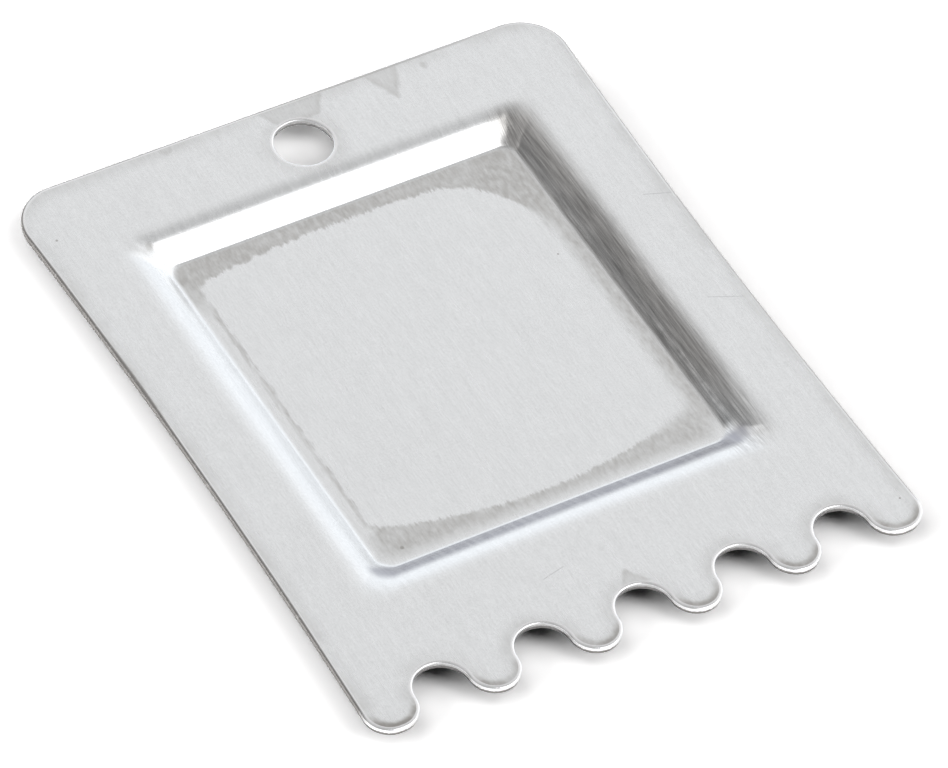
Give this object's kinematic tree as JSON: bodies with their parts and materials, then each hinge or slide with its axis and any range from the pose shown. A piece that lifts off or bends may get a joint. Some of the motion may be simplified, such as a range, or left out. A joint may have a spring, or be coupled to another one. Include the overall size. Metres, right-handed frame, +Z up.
{
  "type": "grill scraper",
  "caption": "Flat grill scraper pressed from aluminium sheet, with rounded teeth along one end that clean between grill ribs, a shallow stiffening tray and a hang hole.",
  "frame": {"origin": "on the ground below the middle of the plate's outline; the underside of the pressed floor lies on the ground", "axes": "+Y along the length from the teeth to the hang hole, +X across the width, +Z up out of the open side of the tray"},
  "size_m": [0.0704, 0.0856, 0.0031],
  "materials": {
    "aluminium_sheet": "bare mill-finish aluminium sheet with a fine straight grain along its length, a few dull patches and bright sheared edges"
  },
  "bodies": {
    "root": {"scraper_plate": "aluminium_sheet"}
  },
  "joints": []
}
